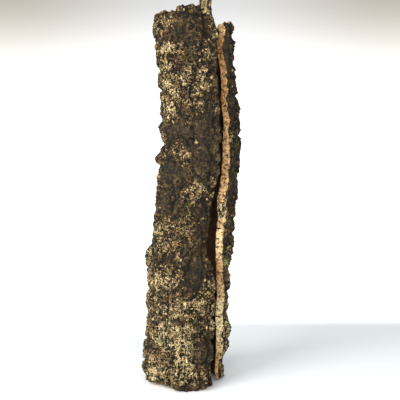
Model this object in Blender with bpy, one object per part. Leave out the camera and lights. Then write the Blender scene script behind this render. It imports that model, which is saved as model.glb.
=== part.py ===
"""Cork bark tube: the hollow bark of a cork oak limb, peeled off whole along one long slit.

The bark grew as one piece, so it is one solid. Its wall runs round the tube from the right lip of the
slit, by the back, to the left lip. The tube stands on its sawn foot. Its upper rim is torn, and a
splinter stands up at the left lip.

Lengths are in metres, and +Z is up. Angles are in degrees round the tube's own centre line: 0 faces -Y,
which is the front, 90 faces +X, 180 the back and 270 -X. The front comes round again at 360.
"""

import bmesh
import bpy
import numpy as np

# Main sizes
BODY_HEIGHT = 0.585
WALL_THICKNESS = 0.0138
THINNEST_WALL = 0.0050
NAME = "cork_bark"

# Radius of the outer surface by height, then where the centre line runs by height
RADIUS = (
    (0.00, 0.0652), (0.10, 0.0646), (0.20, 0.0640), (0.30, 0.0626), (0.40, 0.0608),
    (0.50, 0.0602), (0.62, 0.0606),
)
CENTRE_X = (
    (0.00, -0.0075), (0.06, -0.0058), (0.13, -0.0048), (0.19, -0.0016), (0.26, 0.0055),
    (0.32, 0.0112), (0.39, 0.0154), (0.44, 0.0140), (0.48, 0.0102), (0.53, 0.0062),
    (0.62, 0.0060),
)
CENTRE_Y = ((0.00, -0.0020), (0.20, 0.0020), (0.40, 0.0045), (0.62, -0.0020))

# Angle of each lip of the slit by height. The left lip has a long bite out of it at mid height.
RIGHT_LIP = (
    (0.00, 63.0), (0.06, 61.0), (0.10, 62.0), (0.13, 66.0), (0.165, 61.0), (0.20, 50.0),
    (0.235, 44.0), (0.265, 41.0), (0.295, 40.5), (0.325, 48.0), (0.355, 51.0), (0.385, 46.5),
    (0.415, 49.0), (0.445, 45.0), (0.475, 51.0), (0.505, 48.0), (0.545, 50.0), (0.62, 51.0),
)
LEFT_LIP = (
    (0.00, 401.0), (0.06, 399.0), (0.10, 400.0), (0.13, 403.0), (0.17, 401.0), (0.194, 396.0),
    (0.206, 390.5), (0.235, 389.0), (0.27, 388.0), (0.296, 388.0), (0.318, 390.5), (0.355, 391.0),
    (0.385, 389.0), (0.445, 390.0), (0.505, 394.0), (0.550, 396.5), (0.555, 396.0), (0.565, 395.5),
    (0.570, 393.0), (0.62, 392.0),
)
RIGHT_LIP_MEAN = 52.0
LEFT_LIP_MEAN = 391.0
LIP_SHARE = 0.25  # share of the way round over which a lip's wandering dies out

# How far each lip's outer face tucks in towards the hollow, by height. A minus value flares out.
LEFT_TUCK = (
    (0.00, 0.0030), (0.17, 0.0040), (0.215, 0.0110), (0.285, 0.0105), (0.33, 0.0040),
    (0.62, 0.0020),
)
RIGHT_TUCK = (
    (0.00, 0.0015), (0.18, 0.0010), (0.235, -0.0035), (0.270, -0.0050), (0.31, -0.0010),
    (0.36, 0.0), (0.62, 0.0),
)
TUCK_WIDTH = 0.024
TUCK_INSIDE = 0.55  # share of the tuck that the inner face follows

# Height of the torn upper rim and of the foot, by angle. The foot rests on the floor where it is 0.
TOP_RIM = (
    (48, 0.556), (52, 0.561), (57, 0.564), (70, 0.564), (90, 0.562), (112, 0.553), (128, 0.549),
    (141, 0.555), (152, 0.566), (165, 0.577), (178, 0.571), (192, 0.562), (206, 0.567), (222, 0.576),
    (240, 0.570), (256, 0.578), (270, 0.579), (294, 0.578), (320, 0.577), (328, 0.578), (331.5, 0.584),
    (342.5, 0.586), (348, 0.583), (354, 0.586), (366.5, 0.585), (369, 0.603), (373, 0.608), (379, 0.612),
    (384, 0.609), (391, 0.601),
)
FOOT_RIM = (
    (40, 0.008), (62, 0.008), (70, 0.007), (85, 0.004), (97, 0.0), (200, 0.0), (206, 0.003),
    (216, 0.003), (222, 0.0), (255, 0.0), (268, 0.005), (293, 0.006), (315, 0.007), (335, 0.007),
    (341, 0.004), (347, 0.0), (368, 0.0), (371, 0.003), (376, 0.0045), (381, 0.003), (388, 0.003),
    (394, 0.006), (402, 0.009),
)
TOP_RIM_REACH = 0.150  # how far below the rim its ups and downs bend the rows of the surface
FOOT_RIM_REACH = 0.060
RIM_SLOPE = 0.003  # how much lower the rim is on the inside of the wall

# Strip beside the left lip that has lost its outer bark, up to the splinter's tip
STRIP_FOOT = ((372, 0.546), (378, 0.535), (396, 0.549), (402, 0.549))
STRIP_SIDE = ((0.00, 380.0), (0.53, 378.0), (0.56, 373.0), (0.585, 370.0), (0.62, 369.0))
STRIP_DEPTH = 0.0042
STRIP_STEP = 0.005
STRIP_SIDE_STEP = 4.0

# Bark plates, the furrows between them, and the gentler swelling that they ride on
ARC_RADIUS = 0.062  # turns an angle into a distance round the bark
PLATE_WIDTH = 0.024
PLATE_HEIGHT = 0.038
PLATE_LIFT = 0.0024
FURROW_DEPTH = 0.0048
FURROW_EDGE = 0.40  # half-width of a furrow, as a share of a plate
PLATE_BEND = 0.35
SWELL_SIZE = 0.055
SWELL_HEIGHT = 0.0022
LUMP_SIZE = 0.021
LUMP_HEIGHT = 0.0016
LIP_CALM = 0.55  # share of the relief that is missing at the right lip
LIP_CALM_WIDTH = 0.026

# Knobs and hollows: angle, height, half-width, half-height and lift
KNOBS = (
    (272, 0.535, 0.015, 0.020, 0.0030), (272, 0.460, 0.015, 0.020, 0.0040),
    (273, 0.405, 0.012, 0.014, 0.0045), (270, 0.380, 0.015, 0.013, -0.0040),
    (270, 0.152, 0.016, 0.018, -0.0040), (282, 0.126, 0.012, 0.012, 0.0030),
    (270, 0.083, 0.014, 0.012, 0.0030), (265, 0.022, 0.016, 0.011, 0.0085),
    (352, 0.016, 0.016, 0.016, 0.0040), (88, 0.490, 0.016, 0.020, 0.0030),
    (88, 0.430, 0.015, 0.012, 0.0025), (86, 0.402, 0.016, 0.016, 0.0030),
    (88, 0.334, 0.014, 0.012, -0.0030), (86, 0.262, 0.016, 0.022, 0.0040),
    (88, 0.200, 0.015, 0.012, 0.0030), (86, 0.148, 0.015, 0.030, 0.0030),
    (88, 0.118, 0.012, 0.011, 0.0040), (83, 0.086, 0.013, 0.012, 0.0075),
    (92, 0.060, 0.014, 0.012, 0.0045), (150, 0.230, 0.020, 0.026, 0.0050),
    (205, 0.440, 0.018, 0.024, 0.0055), (232, 0.120, 0.018, 0.020, 0.0050),
    (178, 0.075, 0.016, 0.018, 0.0045), (128, 0.470, 0.014, 0.018, 0.0040),
    (245, 0.300, 0.016, 0.022, 0.0045), (388, 0.006, 0.014, 0.012, 0.0045),
)

# Ledges: angle, height of the upper edge, half-width, reach downwards and lift. A minus lift is a chip.
LEDGES = (
    (290, 0.358, 0.052, 0.105, 0.0035), (352, 0.206, 0.044, 0.070, 0.0040),
    (346, 0.104, 0.026, 0.060, 0.0045), (330, 0.505, 0.040, 0.070, 0.0030),
    (215, 0.352, 0.040, 0.080, 0.0050), (140, 0.330, 0.034, 0.060, 0.0045),
    (76, 0.045, 0.044, 0.120, -0.0075), (252, 0.210, 0.034, 0.070, 0.0040),
    (165, 0.500, 0.036, 0.070, 0.0040),
)
LEDGE_STEP = 0.006
LEDGE_WANDER = 0.008
LEDGE_FLAT_WIDTH = 0.4  # share of a ledge's half-width, and of its reach, at full lift
LEDGE_FLAT_REACH = 0.3

# Inner face of the wall
WALL_SWELL = 0.0014
WALL_SWELL_SIZE = 0.060
INNER_RIB = 0.0008
INNER_RIB_WIDTH = 0.016
INNER_RIB_LENGTH = 0.110

# Mesh fineness: the outer face has twice the columns and rows of the inner face
INNER_COLUMNS = 26
INNER_ROWS = 42

# Finish
BARK_COLOUR = (0.085, 0.065, 0.045, 1.0)
CORK_COLOUR = (0.50, 0.27, 0.12, 1.0)
BARK_ROUGHNESS = 0.95
CORK_ROUGHNESS = 0.85
SMOOTH_ANGLE = 75.0

# Noise: a seed for each pattern, and the odd numbers that scramble a lattice point's number
PLATE_SEED = 7
SWELL_SEED = 11
LUMP_SEED = 23
BEND_SEEDS = (41, 42)
WALL_SEED = 61
RIB_SEED = 71
LAYER_SHIFT = 17.3
CELL_MARGIN = 0.15  # how far a cell's scattered point keeps from the cell's sides
FAR_AWAY = 9.0
LATTICE_KEYS = (0x8DA6B343, 0xD8163841, 0xCB1AB31F)
SEED_KEY = 0x9E3779B9
MIX_KEYS = (0x2C1B3C6D, 0x297A2D39)


def lattice_random(cells, seed):
    """A repeatable random number from 0 to 1 for each row of whole numbers in cells."""
    value = np.full(cells.shape[:-1], seed * SEED_KEY % 2**32, np.uint32)
    for axis in range(cells.shape[-1]):
        value ^= cells[..., axis].astype(np.int64).astype(np.uint32) * np.uint32(LATTICE_KEYS[axis])
        value ^= value >> np.uint32(15)
        value *= np.uint32(MIX_KEYS[0])
        value ^= value >> np.uint32(12)
        value *= np.uint32(MIX_KEYS[1])
        value ^= value >> np.uint32(15)
    return value / 2.0**32


def smooth_step(low, high, value):
    """0 below low, 1 above high, and 3t^2 - 2t^3 between."""
    share = np.clip((value - low) / (high - low), 0.0, 1.0)
    return share * share * (3.0 - 2.0 * share)


def noise(points, seed):
    """Noise from -1 to 1: random numbers at whole coordinates, blended by smooth weights between them."""
    base = np.floor(points)
    share = points - base
    weight = share * share * share * (share * (share * 6.0 - 15.0) + 10.0)
    axes = points.shape[-1]
    total = np.zeros(points.shape[:-1])
    for corner in range(2**axes):
        step = np.array([(corner >> axis) & 1 for axis in range(axes)])
        total += np.where(step == 1, weight, 1.0 - weight).prod(-1) * lattice_random(base + step, seed)
    return total * 2.0 - 1.0


def layered_noise(points, seed, layers):
    """Noise, plus half as much noise at twice the fineness, and so on."""
    total = np.zeros(points.shape[:-1])
    for layer in range(layers):
        total += noise(points * 2.0**layer + LAYER_SHIFT * layer, seed + layer) / 2.0**layer
    return total


def cell_pattern(points, seed):
    """Cells round scattered points: the nearest point's lead over the next one, and its random number."""
    base = np.floor(points)
    nearest = np.full(points.shape[:-1], FAR_AWAY)
    second = nearest.copy()
    owner = np.zeros(points.shape[:-1])
    for across in (-1, 0, 1):
        for up in (-1, 0, 1):
            cell = base + np.array([across, up])
            spot = np.stack([lattice_random(cell, seed), lattice_random(cell, seed + 1)], -1)
            centre = cell + CELL_MARGIN + (1.0 - 2.0 * CELL_MARGIN) * spot
            gap = np.linalg.norm(centre - points, axis=-1)
            closer = gap < nearest
            second = np.where(closer, nearest, np.minimum(second, gap))
            owner = np.where(closer, lattice_random(cell, seed + 2), owner)
            nearest = np.where(closer, gap, nearest)
    return second - nearest, owner


def profile(pairs, at):
    """A smooth curve through (position, value) pairs: cubic pieces whose slopes agree where they meet."""
    spots, values = np.array(pairs, float).T
    slopes = np.gradient(values, spots)
    at = np.clip(at, spots[0], spots[-1])
    index = np.clip(np.searchsorted(spots, at) - 1, 0, len(spots) - 2)
    width = spots[index + 1] - spots[index]
    t = (at - spots[index]) / width
    return (
        values[index] * (2 * t**3 - 3 * t**2 + 1)
        + values[index + 1] * (3 * t**2 - 2 * t**3)
        + slopes[index] * width * (t**3 - 2 * t**2 + t)
        + slopes[index + 1] * width * (t**3 - t**2)
    )


def broken_line(pairs, at):
    """Straight runs through (position, value) pairs, for a torn edge."""
    spots, values = np.array(pairs, float).T
    return np.interp(at, spots, values)


def arc_from(angle, other):
    """Distance round the bark from one angle to another."""
    return np.radians(angle - other) * ARC_RADIUS


def place_on_tube(across, up, rim_drop):
    """Angle and height of a place on the wall, from shares of the way across it and up it.

    Across runs from the right lip to the left one, and up from the foot to the rim. Rows are level in the
    middle of the tube. Near an end they bend to follow that end's rim, and near a lip the columns bend to
    follow the lip.
    """
    angle = RIGHT_LIP_MEAN + across * (LEFT_LIP_MEAN - RIGHT_LIP_MEAN)
    level = up * BODY_HEIGHT
    rise = broken_line(TOP_RIM, angle) - rim_drop - BODY_HEIGHT
    height = (
        level
        + rise * smooth_step(BODY_HEIGHT - TOP_RIM_REACH, BODY_HEIGHT, level)
        + broken_line(FOOT_RIM, angle) * (1.0 - smooth_step(0.0, FOOT_RIM_REACH, level))
    )
    angle += (profile(RIGHT_LIP, height) - RIGHT_LIP_MEAN) * (1.0 - smooth_step(0.0, LIP_SHARE, across))
    angle += (profile(LEFT_LIP, height) - LEFT_LIP_MEAN) * smooth_step(1.0 - LIP_SHARE, 1.0, across)
    return angle, height


def plates(arc, height, bend):
    """Bark plates, some higher and some lower, with furrows along their borders."""
    slanted = np.stack([arc / PLATE_WIDTH, height / PLATE_HEIGHT], -1) + PLATE_BEND * bend
    border, owner = cell_pattern(slanted, PLATE_SEED)
    inside = smooth_step(0.0, FURROW_EDGE, border)
    return PLATE_LIFT * (2.0 * owner - 1.0) * inside - FURROW_DEPTH * (1.0 - inside)


def knobs(angle, height):
    """Round knobs and hollows, each a bell curve in both directions."""
    total = np.zeros(angle.shape)
    for knob_angle, knob_height, half_width, half_height, lift in KNOBS:
        sideways = arc_from(angle, knob_angle) / half_width
        upwards = (height - knob_height) / half_height
        total += lift * np.exp(-(sideways**2) - upwards**2)
    return total


def ledges(angle, height, bend):
    """Thick plates with a sharp upper edge that die out below it and to their sides."""
    total = np.zeros(angle.shape)
    for ledge_angle, edge, half_width, reach, lift in LEDGES:
        sideways = np.abs(arc_from(angle, ledge_angle) + LEDGE_WANDER * bend[..., 1]) / half_width
        below = edge + LEDGE_WANDER * bend[..., 0] - height
        total += (
            lift
            * (1.0 - smooth_step(LEDGE_FLAT_WIDTH, 1.0, sideways))
            * smooth_step(-0.5 * LEDGE_STEP, 0.5 * LEDGE_STEP, below)
            * (1.0 - smooth_step(LEDGE_FLAT_REACH * reach, reach, below))
        )
    return total


def bare_strip(angle, height):
    """Depth of the strip that has lost its outer bark: a step up its foot and another at its side."""
    above_foot = smooth_step(0.0, STRIP_STEP, height - broken_line(STRIP_FOOT, angle))
    past_side = smooth_step(0.0, STRIP_SIDE_STEP, angle - profile(STRIP_SIDE, height))
    return STRIP_DEPTH * above_foot * past_side


def bark_relief(angle, height):
    """Height of the rough bark over the round tube."""
    arc = arc_from(angle, 0.0)
    spot = np.stack([arc, height], -1)
    bend = np.stack([noise(spot / SWELL_SIZE, seed) for seed in BEND_SEEDS], -1)
    rough = plates(arc, height, bend)
    rough += SWELL_HEIGHT * layered_noise(spot / SWELL_SIZE, SWELL_SEED, 3)
    rough += LUMP_HEIGHT * layered_noise(spot / LUMP_SIZE, LUMP_SEED, 2)
    from_lip = arc_from(angle, profile(RIGHT_LIP, height))
    rough *= 1.0 - LIP_CALM * (1.0 - smooth_step(0.0, LIP_CALM_WIDTH, from_lip))
    return rough + knobs(angle, height) + ledges(angle, height, bend) - bare_strip(angle, height)


def lip_tuck(angle, height):
    """How far the wall is drawn in towards the hollow beside each lip."""
    from_left = arc_from(profile(LEFT_LIP, height), angle)
    from_right = arc_from(angle, profile(RIGHT_LIP, height))
    left = profile(LEFT_TUCK, height) * (1.0 - smooth_step(0.0, TUCK_WIDTH, from_left))
    right = profile(RIGHT_TUCK, height) * (1.0 - smooth_step(0.0, TUCK_WIDTH, from_right))
    return left + right


def inner_radius(angle, height):
    """Distance of the smoother inner face from the centre line."""
    spot = np.stack([arc_from(angle, 0.0), height], -1)
    wall = WALL_THICKNESS + WALL_SWELL * layered_noise(spot / WALL_SWELL_SIZE, WALL_SEED, 2)
    ribs = INNER_RIB * noise(spot / np.array([INNER_RIB_WIDTH, INNER_RIB_LENGTH]), RIB_SEED)
    return profile(RADIUS, height) - wall - ribs - TUCK_INSIDE * lip_tuck(angle, height)


def outer_radius(angle, height):
    """Distance of the bark's outer face from the centre line."""
    rough = profile(RADIUS, height) + bark_relief(angle, height) - lip_tuck(angle, height)
    return np.maximum(rough, inner_radius(angle, height) + THINNEST_WALL)


def add_face_of_wall(bm, columns, rows, radius_of, rim_drop):
    """Adds a flat net, wraps it round the centre line at radius_of(angle, height), and gives its faces."""
    corners = bmesh.ops.create_grid(bm, x_segments=columns, y_segments=rows, size=0.5)["verts"]
    flat = np.array([corner.co for corner in corners])
    angle, height = place_on_tube(flat[:, 0] + 0.5, flat[:, 1] + 0.5, rim_drop)
    radius = radius_of(angle, height)
    x = profile(CENTRE_X, height) + radius * np.sin(np.radians(angle))
    y = profile(CENTRE_Y, height) - radius * np.cos(np.radians(angle))
    for corner, place in zip(corners, np.stack([x, y, height], -1)):
        corner.co = place
    return list({face for corner in corners for face in corner.link_faces})


def make_material(name, colour, roughness):
    """A plain finish of one colour."""
    material = bpy.data.materials.new(name)
    material.use_nodes = True
    shader = material.node_tree.nodes["Principled BSDF"]
    shader.inputs["Base Color"].default_value = colour
    shader.inputs["Roughness"].default_value = roughness
    shader.inputs["Metallic"].default_value = 0.0
    return material


def make_tube():
    """The bark as one closed solid: outer face, inner face, and the rims and lips that join them."""
    bm = bmesh.new()
    add_face_of_wall(bm, 2 * INNER_COLUMNS, 2 * INNER_ROWS, outer_radius, 0.0)
    inner = add_face_of_wall(bm, INNER_COLUMNS, INNER_ROWS, inner_radius, RIM_SLOPE)
    bmesh.ops.reverse_faces(bm, faces=inner)
    borders = [edge for edge in bm.edges if edge.is_boundary]
    seam = bmesh.ops.bridge_loops(bm, edges=borders)["faces"]
    for face in inner + seam:
        face.material_index = 1
    bmesh.ops.recalc_face_normals(bm, faces=bm.faces)
    mesh = bpy.data.meshes.new(NAME)
    bm.to_mesh(mesh)
    bm.free()
    mesh.materials.append(make_material("bark", BARK_COLOUR, BARK_ROUGHNESS))
    mesh.materials.append(make_material("cut_cork", CORK_COLOUR, CORK_ROUGHNESS))
    mesh.shade_smooth()
    mesh.set_sharp_from_angle(angle=np.radians(SMOOTH_ANGLE))
    bpy.context.scene.collection.objects.link(bpy.data.objects.new(NAME, mesh))


for thing in list(bpy.data.objects):
    bpy.data.objects.remove(thing)
make_tube()
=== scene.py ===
"""Cork bark tube: the finely grained bark, its flakes, lichen and cork crumbs, and a plain studio.

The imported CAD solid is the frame. Angles run round the tube's own centre line, in degrees: 0 faces -Y,
which is the front, 90 faces +X, 180 the back and 270 -X, and the front comes round again at 360. The bark
wall runs from the right lip of the slit, by the back, to the left lip.
"""

import math
from types import SimpleNamespace

import bmesh
import bpy
import numpy as np
from bpy.props import FloatProperty, FloatVectorProperty, IntProperty, PointerProperty
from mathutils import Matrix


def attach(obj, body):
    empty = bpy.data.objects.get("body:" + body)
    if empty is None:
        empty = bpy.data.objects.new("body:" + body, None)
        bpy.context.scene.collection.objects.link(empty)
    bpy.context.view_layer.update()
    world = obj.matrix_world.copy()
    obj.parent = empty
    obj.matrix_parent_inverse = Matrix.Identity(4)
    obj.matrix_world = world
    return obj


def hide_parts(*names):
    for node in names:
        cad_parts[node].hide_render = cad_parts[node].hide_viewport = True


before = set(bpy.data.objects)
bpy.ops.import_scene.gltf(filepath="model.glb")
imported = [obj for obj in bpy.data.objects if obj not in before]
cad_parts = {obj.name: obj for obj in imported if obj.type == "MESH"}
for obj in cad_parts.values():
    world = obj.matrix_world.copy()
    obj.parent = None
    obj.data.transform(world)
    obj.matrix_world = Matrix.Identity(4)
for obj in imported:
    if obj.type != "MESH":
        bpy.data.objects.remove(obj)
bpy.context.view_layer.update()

bl_info = {
    "name": "Cork Bark Tube",
    "version": (1, 0, 0),
    "blender": (4, 5, 0),
    "location": "3D View > Sidebar > Cork bark",
    "description": "Builds a tube of virgin cork bark around its CAD model",
    "category": "Add Mesh",
}

# Round tube, as the CAD source states it: radius and centre line by height, in metres
BODY_HEIGHT = 0.585
WALL_THICKNESS = 0.0138
THINNEST_WALL = 0.005
RADIUS = (
    (0.0, 0.0652), (0.1, 0.0646), (0.2, 0.064), (0.3, 0.0626), (0.4, 0.0608),
    (0.5, 0.0602), (0.62, 0.0606),
)
CENTRE_X = (
    (0.0, -0.0075), (0.06, -0.0058), (0.13, -0.0048), (0.19, -0.0016), (0.26, 0.0055),
    (0.32, 0.0112), (0.39, 0.0154), (0.44, 0.014), (0.48, 0.0102), (0.53, 0.0062),
    (0.62, 0.006),
)
CENTRE_Y = ((0.0, -0.002), (0.2, 0.002), (0.4, 0.0045), (0.62, -0.002))

# Angle of each lip of the slit by height
RIGHT_LIP = (
    (0.0, 66.0), (0.06, 64.5), (0.1, 66.0), (0.13, 69.5), (0.165, 64.5), (0.2, 53.0),
    (0.235, 46.5), (0.265, 43.5), (0.295, 42.5), (0.325, 47.5), (0.355, 49.5), (0.385, 46.0),
    (0.415, 48.0), (0.445, 44.5), (0.475, 51.0), (0.505, 48.0), (0.545, 50.0), (0.62, 51.0),
)
LEFT_LIP = (
    (0.0, 402.5), (0.06, 401.0), (0.1, 402.0), (0.13, 405.0), (0.17, 402.5), (0.194, 397.0),
    (0.206, 390.5), (0.235, 389.0), (0.27, 388.0), (0.296, 388.0), (0.318, 390.5), (0.345, 392.5),
    (0.385, 391.5), (0.44, 391.5), (0.505, 394.0), (0.548, 398.0), (0.56, 397.5), (0.568, 397.0),
    (0.573, 394.5), (0.62, 394.0),
)
RIGHT_LIP_MEAN = 52.0
LEFT_LIP_MEAN = 391.0
LIP_SHARE = 0.25  # share of the way round over which a lip's wandering dies out

# How far each lip tucks in towards the hollow, by height
LEFT_TUCK = (
    (0.0, 0.003), (0.17, 0.004), (0.215, 0.011), (0.285, 0.0105), (0.33, 0.004),
    (0.62, 0.002),
)
RIGHT_TUCK = (
    (0.0, 0.0015), (0.18, 0.001), (0.235, -0.0035), (0.27, -0.005), (0.31, -0.001),
    (0.36, 0.0), (0.62, 0.0),
)
TUCK_WIDTH = 0.024
TUCK_INSIDE = 0.55  # share of the tuck that the inner face follows

# Height of the torn upper rim and of the foot, by angle. The rim steps up to the splinter a little
# nearer the slit than the CAD's coarser mesh does.
TOP_RIM = (
    (48, 0.556), (52, 0.561), (57, 0.564), (70, 0.564), (90, 0.562), (112, 0.553), (128, 0.549),
    (141, 0.555), (152, 0.566), (165, 0.577), (178, 0.571), (192, 0.562), (206, 0.567), (222, 0.576),
    (240, 0.57), (256, 0.578), (270, 0.579), (294, 0.578), (320, 0.577), (328, 0.578), (331.5, 0.584),
    (342.5, 0.586), (348, 0.583), (354, 0.586), (369, 0.585), (371, 0.603), (374, 0.608), (379, 0.612),
    (384, 0.609), (391, 0.601),
)
FOOT_RIM = (
    (40, 0.008), (62, 0.008), (70, 0.007), (85, 0.004), (97, 0.0), (200, 0.0), (206, 0.003),
    (216, 0.003), (222, 0.0), (255, 0.0), (268, 0.005), (293, 0.006), (315, 0.007), (335, 0.007),
    (341, 0.004), (347, 0.0), (368, 0.0), (371, 0.003), (376, 0.0045), (381, 0.003), (388, 0.003),
    (394, 0.006), (402, 0.009),
)
TOP_RIM_REACH = 0.15  # how far below the rim its ups and downs bend the rows
FOOT_RIM_REACH = 0.06
RIM_SLOPE = 0.003  # how much lower the rim is on the inside of the wall

# Strip beside the left lip that has lost its outer bark, up to the splinter's tip
STRIP_FOOT = ((372, 0.546), (378, 0.535), (396, 0.549), (402, 0.549))
STRIP_SIDE = ((0.0, 380.0), (0.53, 378.0), (0.56, 373.0), (0.585, 370.0), (0.62, 369.0))
STRIP_DEPTH = 0.0042
STRIP_STEP = 0.005
STRIP_SIDE_STEP = 4.0

# Large bark plates, furrows and swelling
ARC_RADIUS = 0.062  # turns an angle into a distance round the bark
PLATE_SIZE = (0.024, 0.038)
PLATE_LIFT = 0.0024
FURROW_DEPTH = 0.0048
FURROW_EDGE = 0.4  # half-width of a furrow, as a share of a plate
PLATE_BEND = 0.35
SWELL_SIZE = 0.055
SWELL_HEIGHT = 0.0022
LUMP_SIZE = 0.021
LUMP_HEIGHT = 0.0016
LIP_CALM = 0.55  # share of the relief that is missing at the right lip
LIP_CALM_WIDTH = 0.026

# Knobs and hollows: angle, height, half-width, half-height and lift
KNOBS = (
    (272, 0.535, 0.015, 0.02, 0.003), (272, 0.46, 0.015, 0.02, 0.004),
    (273, 0.405, 0.012, 0.014, 0.0045), (270, 0.38, 0.015, 0.013, -0.004),
    (270, 0.152, 0.016, 0.018, -0.004), (282, 0.126, 0.012, 0.012, 0.003),
    (270, 0.083, 0.014, 0.012, 0.003), (265, 0.022, 0.016, 0.011, 0.0085),
    (352, 0.016, 0.016, 0.016, 0.004), (88, 0.49, 0.016, 0.02, 0.003),
    (88, 0.43, 0.015, 0.012, 0.0025), (86, 0.402, 0.016, 0.016, 0.003),
    (88, 0.334, 0.014, 0.012, -0.003), (86, 0.262, 0.016, 0.022, 0.004),
    (88, 0.2, 0.015, 0.012, 0.003), (86, 0.148, 0.015, 0.03, 0.003),
    (88, 0.118, 0.012, 0.011, 0.004), (83, 0.086, 0.013, 0.012, 0.0075),
    (92, 0.06, 0.014, 0.012, 0.0045), (150, 0.23, 0.02, 0.026, 0.005),
    (205, 0.44, 0.018, 0.024, 0.0055), (232, 0.12, 0.018, 0.02, 0.005),
    (178, 0.075, 0.016, 0.018, 0.0045), (128, 0.47, 0.014, 0.018, 0.004),
    (245, 0.3, 0.016, 0.022, 0.0045), (388, 0.006, 0.014, 0.012, 0.0045),
)

# Ledges: angle, height of the upper edge, half-width, reach downwards and lift
LEDGES = (
    (290, 0.358, 0.052, 0.105, 0.0035), (352, 0.206, 0.044, 0.07, 0.004),
    (346, 0.104, 0.026, 0.06, 0.0045), (330, 0.505, 0.04, 0.07, 0.003),
    (215, 0.352, 0.04, 0.08, 0.005), (140, 0.33, 0.034, 0.06, 0.0045),
    (76, 0.045, 0.044, 0.12, -0.0075), (252, 0.21, 0.034, 0.07, 0.004),
    (165, 0.5, 0.036, 0.07, 0.004),
)
LEDGE_STEP = 0.006
LEDGE_WANDER = 0.008
LEDGE_FLAT_WIDTH = 0.4  # share of a ledge's half-width, and of its reach, at full lift
LEDGE_FLAT_REACH = 0.3

# Inner face of the wall
WALL_SWELL = 0.0014
WALL_SWELL_SIZE = 0.06
INNER_RIB = 0.0008
INNER_RIB_SIZE = (0.016, 0.11)

# Patterns shared with the CAD source, and the numbers that scramble a lattice point
PLATE_SEED = 7
SWELL_SEED = 11
LUMP_SEED = 23
BEND_SEEDS = (41, 42)
WALL_SEED = 61
RIB_SEED = 71
LAYER_SHIFT = 17.3
CELL_MARGIN = 0.15  # how far a cell's scattered point keeps from the cell's sides
FAR_AWAY = 9.0
LATTICE_KEYS = (0x8DA6B343, 0xD8163841, 0xCB1AB31F)
SEED_KEY = 0x9E3779B9
MIX_KEYS = (0x2C1B3C6D, 0x297A2D39)

# Fine relief of the crust, in metres: scales, crumbs, fissures and grit. An edge is a crack's half-width as
# a share of a cell, and a warp is how far the borders bend.
WARP_SIZE = 0.011
WARP_SEEDS = (301, 302)
SCALE_SIZE = (0.0095, 0.0125)
SCALE_LIFT = 0.001
SCALE_CRACK = 0.0012
SCALE_TILT = 0.0011
SCALE_TURN = 0.8
SCALE_WARP = 0.5
SCALE_EDGE = 0.3
SCALE_SEED = 310
WORN_END = (-0.35, 0.15)  # where the worn upper end of a scale begins, and is full
WORN_SCALES = (0.3, 0.6)  # the scales' numbers from which they are worn
CRUMB_SIZE = (0.0042, 0.004)
CRUMB_LIFT = 0.0005
CRUMB_CRACK = 0.0007
CRUMB_TILT = 0.0013
CRUMB_TURNS = (7.0, 13.0)
CRUMB_WARP = 0.4
CRUMB_EDGE = 0.35
CRUMB_SEED = 320
FISSURE_SIZE = (0.013, 0.052)
FISSURE_DEPTH = 0.0019
FISSURE_WARP = 0.25
FISSURE_EDGE = 0.16
FISSURE_SEED = 330
GRIT_SIZE = 0.0026
GRIT_HEIGHT = 0.0006
GRIT_SEED = 340
CRUST_FILL = 0.0007
BARE_CALM = (0.55, 0.8, 0.6)  # share that scales, crumbs with grit, and fissures lose where the bark is bare
LIP_FINE = 0.55  # share of the fine relief that is missing beside a lip
FULL_RELIEF = 0.0018  # height that the finish reads as 1

# Torn rim and lips, and the grain of cut cork
RIM_TEAR = 0.0026
RIM_TEAR_SIZE = 0.0075
RIM_TEAR_REACH = 0.022
RIM_TEAR_SEED = 401
LIP_TEAR = 0.0015
LIP_TEAR_SIZE = 0.007
LIP_TEAR_SHARE = 0.03  # share of the way round that is ragged beside a lip
LIP_TEAR_SEED = 402
CUT_GRAIN = 0.0014
CUT_GRAIN_SIZE = 0.004
CUT_GRAIN_ROWS = 4.0  # rows of grain through the wall
CUT_GRAIN_SEED = 403
RIM_GRAIN = 1.4  # how much stronger the grain is on the torn rim

# Where the bark differs, as read off the photo: angle, height, half-width, half-height and strength
FLECKED = (
    (318, 0.476, 0.027, 0.03, 1), (303, 0.428, 0.031, 0.027, 0.8), (316, 0.523, 0.03, 0.011, 1),
    (361, 0.475, 0.021, 0.03, 0.55), (361, 0.424, 0.018, 0.024, 0.5), (341, 0.58, 0.011, 0.006, 0.8),
    (336, 0.352, 0.013, 0.014, 0.5), (326, 0.367, 0.022, 0.008, 0.4), (364, 0.312, 0.021, 0.014, 0.9),
    (315, 0.161, 0.026, 0.033, 0.4), (286, 0.213, 0.024, 0.027, 0.3), (351, 0.122, 0.015, 0.014, 0.5),
    (326, 0.088, 0.032, 0.022, 0.9), (360, 0.062, 0.017, 0.036, 1), (312, 0.025, 0.02, 0.012, 0.9),
    (374, 0.019, 0.02, 0.011, 0.7), (379, 0.142, 0.016, 0.02, 0.45), (396, 0.099, 0.013, 0.012, 0.6),
    (59, 0.393, 0.015, 0.021, 0.5), (76, 0.184, 0.014, 0.012, 0.6), (79, 0.092, 0.02, 0.027, 0.5),
    (314, 0.245, 0.031, 0.012, 0.5), (300, 0.558, 0.026, 0.018, 0.5), (331, 0.566, 0.02, 0.01, 0.5),
    (384, 0.585, 0.009, 0.016, 0.7), (372, 0.5, 0.016, 0.02, 0.5),
    (46, 0.276, 0.012, 0.02, 0.9), (391, 0.568, 0.01, 0.028, 1), (296, 0.028, 0.016, 0.014, 0.8),
)
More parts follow.
